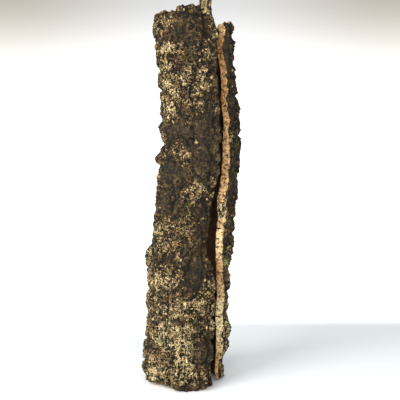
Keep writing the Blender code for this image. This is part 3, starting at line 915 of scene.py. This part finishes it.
def kept(frames, keep):
    """The frames for which keep is true."""
    ways, looks = frames
    return ways[:, keep], {look: values[keep] for look, values in looks.items()}


def on_crust(count, seed):
    """Frames at random places of the crust, with their third direction outwards."""
    across, up = (inset(margin, share) for margin, share in zip(CRUST_MARGINS, draws(count, 2, seed).T))
    return local_frames(across, up, np.zeros(count), ACROSS_STEP, UP_STEP)


def flake_frames(flakes):
    """Frames of the flakes: rarer on bare plates and on the strip, and more often cream among the flecks."""
    places, chances, kinds = FLAKE_SEEDS
    tries = on_crust(flakes * 2, places)
    looks = tries[1]
    wanted = FLAKE_CHANCE - FLAKES_LESS_BARE * looks["bare"] - FLAKES_LESS_STRIP * looks["strip"]
    keep = draws(flakes * 2, 1, chances)[:, 0] < wanted
    ways, looks = kept(tries, np.flatnonzero(keep)[:flakes])
    roll = draws(ways.shape[1], 2, kinds)
    looks["relief"] = FLAKE_RELIEF[0] + FLAKE_RELIEF[1] * roll[:, 0]
    looks["cream"] = CREAM_LOOK * (roll[:, 1] < CREAM_FLAKES[0] + CREAM_FLAKES[1] * looks["flecked"])
    return ways, looks


def crumb_frames(count):
    """Frames of the crumbs: two in three on the cut face of the right lip, and the rest on the torn rim."""
    roll = draws(count, 3, CRUMB_PLACE_SEED)
    lip = count * (CRUMBS_ON_RIM - 1) // CRUMBS_ON_RIM
    deep = inset(CRUMB_DEPTH_MARGIN, roll[:, 0])
    on_face = local_frames(np.zeros(lip), roll[:lip, 1], deep[:lip], UP_STEP, THROUGH_STEP)
    across = inset(CRUMB_RIM_MARGIN, roll[lip:, 1])
    on_rim = local_frames(across, np.ones(count - lip), deep[lip:], RIM_STEP, THROUGH_STEP)
    return both(on_face, on_rim)


def lichen_frames(tries):
    """Frames of the lichen crusts: some of many places on the crust, where lichen and moss grow."""
    places, chances = LICHEN_SEEDS
    frames = on_crust(tries, places)
    growth = np.maximum(frames[1]["lichen"], LICHEN_ON_MOSS * frames[1]["mossy"])
    return kept(frames, draws(tries, 1, chances)[:, 0] < growth * LICHEN_CHANCE - LICHEN_LESS)


class Wire:
    """A node's output that takes part in arithmetic. Each operation adds a Math node."""

    def __init__(self, graph, socket):
        self.graph = graph
        self.socket = socket

    def maths(self, operation, *others):
        """A Math node on this wire and others."""
        return self.graph.node("ShaderNodeMath", {"operation": operation}, dict(enumerate((self, *others))))

    def __add__(self, other):
        return self.maths("ADD", other)

    def __sub__(self, other):
        return self.maths("SUBTRACT", other)

    def __mul__(self, other):
        return self.maths("MULTIPLY", other)

    def __rsub__(self, other):
        return self.graph.node("ShaderNodeMath", {"operation": "SUBTRACT"}, {0: other, 1: self})

    __radd__ = __add__
    __rmul__ = __mul__

    def high(self, low, high):
        """0 below low, 1 above high, and a smooth rise between."""
        inputs = {"Value": self, "From Min": low, "From Max": high}
        return self.graph.node("ShaderNodeMapRange", {"interpolation_type": "SMOOTHSTEP"}, inputs)


class Graph:
    """A tree of nodes, added one at a time, and the group of settings whose colours it may take by name."""

    def __init__(self, tree, paint):
        self.tree = tree
        self.paint = paint

    def join(self, sockets, values):
        """Gives each named or numbered socket a wire, a plain value, or a colour by its setting's name."""
        for key, value in values.items():
            if isinstance(value, Wire):
                self.tree.links.new(value.socket, sockets[key])
            elif isinstance(value, str):
                sockets[key].default_value = (*getattr(self.paint, value), 1.0)
            else:
                sockets[key].default_value = value

    def node(self, kind, settings, inputs, output=0):
        """Adds a node: its settings first, then its inputs by name or number."""
        made = self.tree.nodes.new(kind)
        for key, value in settings.items():
            setattr(made, key, value)
        self.join(made.inputs, inputs)
        return Wire(self, made.outputs[output])

    def attribute(self, name):
        """A number stored at the piece's vertices."""
        return self.node("ShaderNodeAttribute", {"attribute_name": name}, {}, "Fac")

    def place(self, kind="Object"):
        """The point on the piece in metres, or another of the texture coordinates."""
        return self.node("ShaderNodeTexCoord", {}, {}, kind)

    def part(self, where, axis):
        """One coordinate of a place."""
        return self.node("ShaderNodeSeparateXYZ", {}, {0: where}, axis)

    def vector(self, operation, *values):
        """A Vector Math node."""
        return self.node("ShaderNodeVectorMath", {"operation": operation}, dict(enumerate(values)))

    def noise(self, where, scale, detail, roughness=0.55, distortion=0.0, output=0):
        """Noise from 0 to 1, as a number or as a colour."""
        inputs = {"Vector": where, "Scale": scale, "Detail": detail, "Roughness": roughness}
        return self.node("ShaderNodeTexNoise", {}, inputs | {"Distortion": distortion}, output)

    def cells(self, where, scale, output="Color", feature="F1"):
        """Cells round scattered points: a random colour for each, or a distance."""
        inputs = {"Vector": where, "Scale": scale}
        return self.node("ShaderNodeTexVoronoi", {"feature": feature}, inputs, output)

    def mix(self, share, low, high):
        """A colour from low to high."""
        return self.node("ShaderNodeMix", {"data_type": "RGBA"}, {"Factor": share, 6: low, 7: high}, 2)

    def bump(self, height, strength, distance):
        """A normal that follows a height."""
        return self.node("ShaderNodeBump", {}, {"Height": height, "Strength": strength, "Distance": distance})


class Finish(Graph):
    """A material with its nodes."""

    def __init__(self, name, paint):
        self.material = bpy.data.materials.new(name)
        self.material.use_nodes = True
        super().__init__(self.material.node_tree, paint)

    def coat(self, values):
        """Gives the surface its colour, roughness and so on, and returns the material."""
        self.join(self.tree.nodes["Principled BSDF"].inputs, values)
        return self.material


def bark_patterns(made):
    """What the bark's colours are mixed by: the numbers at its vertices, and noises and cells from 0 to 1."""
    where = made.place()
    bark = SimpleNamespace(**{look: made.attribute(look) for look in LOOKS})
    bark.broad = made.noise(where, 16.0, 3.0)
    bark.middle = made.noise(where, 62.0, 5.0, 0.62)
    bark.tinge = made.noise(made.vector("ADD", where, (0.71, 0.47, 0.23)), 95.0, 3.0, 0.62)
    bark.warmth = made.noise(made.vector("ADD", where, (0.13, 0.83, 0.37)), 75.0, 3.0, 0.62)
    bark.clumps = made.noise(made.vector("ADD", where, (0.31, 0.17, 0.53)), 44.0, 3.0, 0.6)
    bark.curls = made.noise(made.vector("MULTIPLY", where, (1.0, 1.0, 0.75)), 170.0, 2.0, 0.55, 0.8)
    bark.streaks = made.noise(made.vector("MULTIPLY", where, (1.0, 1.0, 0.28)), 210.0, 4.0, 0.6)
    bark.across = made.noise(made.vector("MULTIPLY", where, (0.22, 0.22, 1.0)), 430.0, 3.0, 0.6)
    bark.fine = made.noise(where, 240.0, 5.0, 0.7)
    bark.strokes = made.noise(where, 300.0, 3.0, 0.6, 1.2)
    bark.grit = made.noise(where, 800.0, 3.0, 0.65)
    drift = made.noise(where, 230.0, 3.0, 0.5, output="Color")
    bent = made.vector("MULTIPLY_ADD", drift, (0.011, 0.011, 0.008), where)
    bark.strands = made.noise(made.vector("MULTIPLY", bent, (1.0, 1.0, 0.42)), 330.0, 3.0, 0.6, 0.6)
    bark.chips = made.cells(bent, 190.0)
    bark.grains = made.cells(bent, 320.0)
    bark.specks = made.cells(bent, 520.0)
    bark.seams = made.cells(bent, 190.0, "Distance", "DISTANCE_TO_EDGE")
    bark.raised = bark.relief * 0.5 + 0.5
    bark.patchy = bark.flecked * (1.0 - bark.bare * 0.8)
    # Furrows and low places, where shade is painted
    bark.sunk = (bark.furrow * 0.7 + bark.middle * 1.2 + bark.clumps * 0.6 - 0.9).high(0.3, 0.75)
    return bark


def crust_tones(made, bark):
    """The crust's colours: rust, green, grey and olive tinges over brown, with painted shade in the low
    places and a painted highlight on the raised ones.
    """
    hue = made.mix((bark.tinge * 0.8 + bark.chips * 0.2).high(0.44, 0.56), "crust_green", "crust_rust")
    hue = made.mix((bark.warmth * 0.8 + bark.grains * 0.2).high(0.42, 0.56), hue, "crust_mid")
    grey = (bark.broad + bark.middle * 0.6 + bark.chips * 0.2).high(0.84, 1.08) * bark.raised * 0.8
    hue = made.mix(grey, hue, "crust_grey")
    hue = made.mix((bark.streaks * 0.8 + bark.broad * 0.6).high(0.66, 0.95) * 0.7, hue, "crust_olive")
    # Random tone, with painted shade where the crust is low and a painted highlight where it is raised
    shade = bark.raised * 0.3 + bark.middle * 0.4 + bark.fine * 0.5
    shade = (shade + bark.grains * 0.55 + bark.specks * 0.15 + bark.patchy * 0.48).high(0.74, 1.36)
    hue = made.mix(bark.patchy * (bark.fine + bark.middle * 0.5).high(0.55, 0.95) * 0.35, hue, "fleck_tan")
    crust = made.mix(shade, "crust_dark", hue)
    smooth = made.mix(bark.streaks.high(0.4, 0.7), "crust_dark", "crust_bare")
    return made.mix(bark.bare * 0.65, crust, made.mix(bark.tinge.high(0.44, 0.54) * 0.3, smooth, hue))


def add_stains(made, bark, crust):
    """Moss stains and rusty places."""
    mossy = bark.mossy * (bark.fine + bark.middle).high(0.85, 1.15) * 0.7
    crust = made.mix(mossy, crust, "moss_green")
    return made.mix(bark.tanned * (bark.grains * 0.6 + bark.fine).high(0.66, 0.95) * 0.8, crust, "cork_rust")


def add_painted_shade(made, bark, crust):
    """Painted shade: near black in the hollows of the fine relief, in pits, in the seams between the chips,
    and in the furrows.
    """
    rough = 1.0 - bark.bare * 0.6
    # Painted shade in the hollows of the fine relief
    crust = made.mix((0.0 - bark.relief).high(0.05, 0.75) * 0.85, crust, "painted_shade_colour")
    # Near-black pits, painted as shade
    pits = 1.0 - bark.strokes * 0.7 - bark.grains * 0.5 - bark.specks * 0.15
    pits = (pits + bark.middle * 0.2 + bark.patchy * 0.14).high(0.42, 0.48) * rough * 0.98
    crust = made.mix(pits, crust, "painted_shade_colour")
    # Painted shade in the seams between the chips, which the bump sinks
    seams = (1.0 - bark.seams.high(0.01, 0.05)) * bark.clumps.high(0.38, 0.62) * rough * 0.6
    crust = made.mix(seams, crust, "painted_shade_colour")
    # Painted shade in the furrows and low places
    return made.mix(bark.sunk * 0.5, crust, "painted_shade_colour")


def add_flecks(made, bark, crust):
    """Curled lines and dots of cream, olive, rust and tan, thickest where the bark is flecked."""
    wanted = bark.clumps * 1.2 - bark.sunk * 0.16 + bark.patchy * 0.32 + bark.rim * 0.08 - 0.04
    wanted = wanted - bark.bare * 0.4
    ridge = (bark.curls - 0.5).maths("ABSOLUTE")
    line = (1.0 - ridge.high(0.012, 0.034)) * (wanted + bark.grains * 0.4).high(0.86, 0.94)
    dot = wanted * 0.5 + bark.strands * 1.1 + bark.grains * 0.3 + bark.specks * 0.3
    fleck = line.maths("MAXIMUM", dot.high(1.43, 1.49))
    pale = made.mix(bark.warmth.high(0.45, 0.6) * 0.6, "fleck_cream", "fleck_olive")
    pale = made.mix((bark.chips + bark.tinge * 0.5).high(1.02, 1.08) * 0.8, pale, "fleck_rust")
    pale_share = (bark.chips * 0.4 + bark.specks * 0.4 + bark.patchy * 0.32).high(0.36, 0.66)
    return made.mix(fleck * 0.9, crust, made.mix(pale_share, "fleck_tan", pale))


def add_patches(made, bark, crust):
    """Cream cork where the crust has come off, lichen, and the bared strip at the splinter."""
    torn = bark.cream * 0.6 + bark.grains * 0.45 + bark.specks * 0.3 + bark.strokes * 0.4
    torn = torn.high(1.06, 1.13) * bark.cream.high(0.1, 0.3)
    crust = made.mix(torn, crust, made.mix(bark.specks, "fleck_tan", "fleck_cream"))
    growth = bark.lichen * 0.45 + bark.grains * 0.45 + bark.specks * 0.3 + bark.strokes * 0.4
    crust = made.mix(growth.high(0.98, 1.05) * bark.lichen.high(0.1, 0.4), crust, "lichen_green")
    stripes = (bark.streaks * 0.7 + bark.grains * 0.35 + bark.specks * 0.3).high(0.6, 0.76)
    bared = made.mix(stripes, "crust_dark", "strip_olive")
    return made.mix((bark.strip + bark.grains * 0.3 + bark.fine * 0.3).high(0.72, 0.84), crust, bared)


def cut_cork(made, bark):
    """Granules of tan to pale cork, darker pores, and painted shade in the cross cracks."""
    pale = bark.paleness
    light = made.mix(pale, "cork_tan", "cork_pale")
    dim = made.mix(pale, "cork_rust", "cork_tan")
    granules = bark.grains * 0.5 + bark.specks * 0.35 + bark.strokes * 0.5
    granules = granules + bark.across * 0.3 + bark.middle * 0.3 + pale * 0.08
    cork = made.mix(granules.high(0.84, 1.06), dim, light)
    pores = 1.0 - bark.grains * 0.45 - bark.specks * 0.45 - bark.strokes * 0.35
    pores = pores + bark.across * 0.35 + bark.fine * 0.2 - pale * 0.03
    cork = made.mix(pores.high(0.7, 0.78) * 0.9, cork, "cork_pore")
    # Painted shade in the cross cracks
    return made.mix(bark.crack.high(0.25, 0.7), cork, "painted_shade_colour")


def bark_material(paint):
    """Crust outside, cork where the wall is cut or torn, and a smoother brown inside, blended by depth."""
    made = Finish(BARK_FINISH, paint)
    bark = bark_patterns(made)
    crust = crust_tones(made, bark)
    for layer in (add_stains, add_painted_shade, add_flecks, add_patches):
        crust = layer(made, bark, crust)
    cork = cut_cork(made, bark)
    worn = bark.edge * (bark.fine * 1.6 + bark.middle * 0.8) - bark.skinned * 0.6
    crust = made.mix(worn.high(0.75, 0.95), crust, cork)
    inside = made.mix((bark.streaks + bark.broad * 0.5).high(0.5, 0.95), "inner_dark", "inner_brown")
    covered = (bark.skinned * (bark.middle + bark.fine)).high(0.0, 1.0) * 0.85
    opened = (bark.through + bark.fine * 0.1 - 0.05 - covered).high(0.03, 0.09)
    body = made.mix(opened, crust, cork)
    height = bark.fine * 0.9 + bark.grit * 0.35 + bark.grains * 0.22 + bark.chips * 0.25
    height = height + bark.seams.high(0.0, 0.12) * (1.0 - opened) * 0.35 + bark.streaks * 0.35
    return made.coat({
        "Base Color": made.mix((bark.through + bark.fine * 0.1).high(0.98, 1.03), body, inside),
        "Roughness": 0.96 - bark.bare * bark.middle * 0.22,
        "Specular IOR Level": 0.25,
        "Normal": made.bump(height, 0.9, 0.0026),
    })


def lichen_material(paint):
    """Dry lichen: powdery grey-green with paler and browner grains."""
    made = Finish("lichen_finish", paint)
    where = made.place()
    mottle = made.noise(where, 320.0, 4.0, 0.65)
    grains = made.cells(where, 700.0)
    return made.coat({
        "Base Color": made.mix((mottle + grains * 0.4).high(0.5, 0.95), "moss_green", "lichen_green"),
        "Roughness": 1.0,
        "Specular IOR Level": 0.1,
        "Normal": made.bump(mottle + grains * 0.3, 0.8, 0.0018),
    })


def floor_material(studio):
    """Pale, slightly mottled, and fading out behind the tube, nearer at the left than at the right."""
    made = Finish("floor_finish", studio)
    where = made.place()
    nearer = (1.0 - made.part(where, "X").high(*FLOOR_SIDES)) * FLOOR_SHORTER
    duller = (*(value * FLOOR_MOTTLE for value in studio.floor_colour), 1.0)
    return made.coat({
        "Base Color": made.mix(made.noise(where, 2.5, 3.0), "floor_colour", duller),
        "Roughness": 0.7,
        "Alpha": 1.0 - (made.part(where, "Y") + nearer).high(*FLOOR_END),
    })


def bark_finish(context):
    """The bark's material, made once."""
    return bpy.data.materials.get(BARK_FINISH) or bark_material(context.scene.cork_tube_finish)


def add_floor(studio):
    """A flat floor under the tube."""
    xs, ys = grid_of(FLOOR_X, FLOOR_Y)
    points = np.stack([xs.ravel(), ys.ravel(), np.zeros(4)], -1)
    mesh = make_mesh("floor", points, np.array([[0, 2, 3, 1]]), {})
    mesh.materials.append(floor_material(studio))
    floor = add_object("floor", mesh)


def add_world(studio):
    """A white surround, brightest at the horizon and dimmer and bluer above.

    It is darker far to the right, and a little warmer and dimmer low down on both sides of the view.
    """
    world = bpy.data.worlds.new("surround")
    bpy.context.scene.world = world
    world.use_nodes = True
    sky = Graph(world.node_tree, studio)
    way = sky.place("Generated")
    right = sky.part(way, "X")
    upward = sky.part(way, "Z")
    above = upward.high(0.0, 0.55)
    low_part = 1.0 - upward.high(0.2, 0.36)
    corner = upward.high(0.0, 0.17) * right.maths("ABSOLUTE").high(0.02, 0.24) * low_part
    level = (1.0 - above * 0.36) * (1.0 - right.high(0.2, 0.9) * upward.high(0.0, 0.25) * 0.4)
    level = level * (1.0 - upward.high(0.04, 0.15) * (low_part * 0.14 + 0.28)) * (1.0 - corner * 0.32)
    tint = sky.mix(corner, sky.mix(above, HORIZON_TINT, UPPER_TINT), CORNER_TINT)
    sky.join(world.node_tree.nodes["Background"].inputs, {"Color": tint, "Strength": level * studio.surround})


def add_light(name, power, sides, tint, place):
    """A soft rectangular light at a place, turned towards the tube."""
    data = bpy.data.lights.new(name, "AREA")
    data.shape = "RECTANGLE"
    data.energy = power
    data.size, data.size_y = sides
    data.color = tint
    lamp = add_object(name, data)
    lamp.location = place
    way = np.array(LIGHT_TARGET) - np.array(place)
    tilt = math.atan2(math.hypot(way[0], way[1]), -way[2])
    lamp.rotation_euler = (tilt, 0.0, math.atan2(-way[0], way[1]))


def add_camera(studio):
    """A camera in front of the tube, a little above its middle, looking slightly down as in the photo."""
    data = bpy.data.cameras.new("camera")
    data.lens = studio.lens
    data.sensor_width = SENSOR_WIDTH
    camera = add_object("camera", data)
    camera.location = CAMERA_PLACE
    camera.rotation_euler = (math.radians(90.0 - CAMERA_TILT), 0.0, 0.0)
    bpy.context.scene.camera = camera


class CorkTubeShape(bpy.types.PropertyGroup):
    """How finely the tube is made and how much loose stuff clings to it."""

    columns: IntProperty(name="Columns", description="Columns of the outer face", default=204, min=20)
    rows: IntProperty(name="Rows", description="Rows of the outer face", default=344, min=20)
    flakes: IntProperty(name="Flakes", description="Flakes on the crust", default=2600, min=0)
    crumbs: IntProperty(name="Crumbs", description="Crumbs on cut and torn cork", default=700, min=3)
    lichen_tries: IntProperty(name="Lichen", description="Places tried for lichen", default=9000, min=0)
    steps: IntProperty(
        name="Wall steps", description="Rows of faces through the wall at its edges", default=7, min=1
    )


class CorkTubeFinish(bpy.types.PropertyGroup):
    """Colours of the bark and of the cork under it."""


PAINTS = {
    # Near-black painted shade for the hollows, pits, seams, furrows and cracks
    "painted_shade_colour": ("Bottom of the furrows", (0.008, 0.006, 0.004)),
    "crust_dark": ("Dark crust", (0.019, 0.014, 0.009)),
    "crust_mid": ("Middle tone of the crust", (0.128, 0.076, 0.03)),
    "crust_grey": ("Weathered grey on raised crust", (0.15, 0.112, 0.06)),
    "crust_olive": ("Olive tinge in the crust", (0.135, 0.102, 0.03)),
    "crust_rust": ("Reddish-brown tinge in the crust", (0.19, 0.076, 0.028)),
    "crust_green": ("Grey-green tinge in the crust", (0.082, 0.09, 0.042)),
    "crust_bare": ("Smooth dark plates", (0.038, 0.03, 0.022)),
    "fleck_rust": ("Rust-orange flecks", (0.46, 0.205, 0.07)),
    "fleck_olive": ("Yellow-olive flecks", (0.56, 0.48, 0.2)),
    "fleck_tan": ("Tan flecks", (0.44, 0.262, 0.082)),
    "fleck_cream": ("Cream flecks", (0.94, 0.745, 0.4)),
    "cork_tan": ("Cut cork", (0.6, 0.32, 0.115)),
    "cork_pale": ("Pale cut cork", (0.98, 0.83, 0.48)),
    "cork_rust": ("Weathered cut cork", (0.19, 0.092, 0.036)),
    "cork_pore": ("Pores of the cork", (0.08, 0.034, 0.016)),
    "inner_brown": ("Inner face", (0.15, 0.085, 0.045)),
    "inner_dark": ("Stains on the inner face", (0.055, 0.032, 0.02)),
    "lichen_green": ("Lichen", (0.38, 0.38, 0.15)),
    "moss_green": ("Moss stains", (0.06, 0.066, 0.032)),
    "strip_olive": ("Bared strip at the splinter", (0.5, 0.4, 0.19)),
}
for key, (label, value) in PAINTS.items():
    CorkTubeFinish.__annotations__[key] = FloatVectorProperty(
        name=label, description=label, default=value, subtype="COLOR", min=0.0, max=1.0
    )


class CorkTubeStudio(bpy.types.PropertyGroup):
    """Light, floor and camera."""

    side: FloatProperty(
        name="Side light", description="Power of the soft light at the left", default=40.0, unit="POWER"
    )
    front: FloatProperty(
        name="Front light", description="Power of the light by the camera", default=32.0, unit="POWER"
    )
    surround: FloatProperty(
        name="Surround", description="Brightness of the white surround", default=1.37, min=0.0
    )
    lens: FloatProperty(name="Lens", description="Focal length", default=73.82, unit="CAMERA")
    floor_colour: FloatVectorProperty(
        name="Floor", description="Colour of the floor", default=(0.93, 0.955, 0.97),
        subtype="COLOR", min=0.0, max=1.0,
    )


class OBJECT_OT_cork_bark_wall(bpy.types.Operator):
    """Make the bark wall"""

    bl_idname = "object.cork_bark_wall"
    bl_label = "Bark wall"

    def execute(self, context):
        shape = context.scene.cork_tube_shape
        mesh = wall_mesh(shape.columns, shape.rows, shape.steps)
        add_piece("bark_wall", mesh, bark_finish(context), ("cork_bark",))
        return {"FINISHED"}


class OBJECT_OT_bark_flakes(bpy.types.Operator):
    """Make the flakes that lie on the crust"""

    bl_idname = "object.bark_flakes"
    bl_label = "Bark flakes"

    def execute(self, context):
        frames = flake_frames(context.scene.cork_tube_shape.flakes)
        add_piece("bark_flakes", chips_mesh("bark_flakes", frames), bark_finish(context))
        return {"FINISHED"}


class OBJECT_OT_cork_crumbs(bpy.types.Operator):
    """Make the crumbs of cork on the cut face and the torn rim"""

    bl_idname = "object.cork_crumbs"
    bl_label = "Cork crumbs"

    def execute(self, context):
        frames = crumb_frames(context.scene.cork_tube_shape.crumbs)
        add_piece("cork_crumbs", chips_mesh("cork_crumbs", frames), bark_finish(context))
        return {"FINISHED"}


class OBJECT_OT_lichen_crusts(bpy.types.Operator):
    """Make the small crusts of lichen"""

    bl_idname = "object.lichen_crusts"
    bl_label = "Lichen crusts"

    def execute(self, context):
        frames = lichen_frames(context.scene.cork_tube_shape.lichen_tries)
        lichen = lichen_material(context.scene.cork_tube_finish)
        add_piece("lichen_crusts", chips_mesh("lichen_crusts", frames), lichen)
        return {"FINISHED"}


class SCENE_OT_cork_studio(bpy.types.Operator):
    """Make the floor, the light and the camera"""

    bl_idname = "scene.cork_studio"
    bl_label = "Studio"

    def execute(self, context):
        studio = context.scene.cork_tube_studio
        add_floor(studio)
        add_world(studio)
        for name, (sides, tint, place) in LIGHTS.items():
            add_light(f"{name}_light", getattr(studio, name), sides, tint, place)
        add_camera(studio)
        context.scene.view_settings.view_transform = "Standard"
        return {"FINISHED"}


class VIEW3D_PT_cork_bark_tube(bpy.types.Panel):
    """Lists what makes the tube"""

    bl_label = "Cork bark tube"
    bl_space_type = "VIEW_3D"
    bl_region_type = "UI"
    bl_category = "Cork bark"

    def draw(self, context):
        for group in GROUPS:
            settings = getattr(context.scene, group)
            for name in settings.bl_rna.properties.keys():
                if name not in ("rna_type", "name"):
                    self.layout.prop(settings, name)
        for maker in MAKERS:
            self.layout.operator(maker.bl_idname)


MAKERS = (
    OBJECT_OT_cork_bark_wall,
    OBJECT_OT_bark_flakes,
    OBJECT_OT_cork_crumbs,
    OBJECT_OT_lichen_crusts,
    SCENE_OT_cork_studio,
)
GROUPS = {
    "cork_tube_shape": CorkTubeShape,
    "cork_tube_finish": CorkTubeFinish,
    "cork_tube_studio": CorkTubeStudio,
}
CLASSES = (*GROUPS.values(), *MAKERS, VIEW3D_PT_cork_bark_tube)


def register():
    """Adds the classes and the scene's settings."""
    for made in CLASSES:
        bpy.utils.register_class(made)
    for name, group in GROUPS.items():
        setattr(bpy.types.Scene, name, PointerProperty(type=group))


def unregister():
    """Takes the settings and the classes away again."""
    for name in GROUPS:
        delattr(bpy.types.Scene, name)
    for made in reversed(CLASSES):
        bpy.utils.unregister_class(made)


def main():
    register()
    for maker in MAKERS:
        group, name = maker.bl_idname.split(".")
        getattr(getattr(bpy.ops, group), name)()


if __name__ == "__main__":
    main()
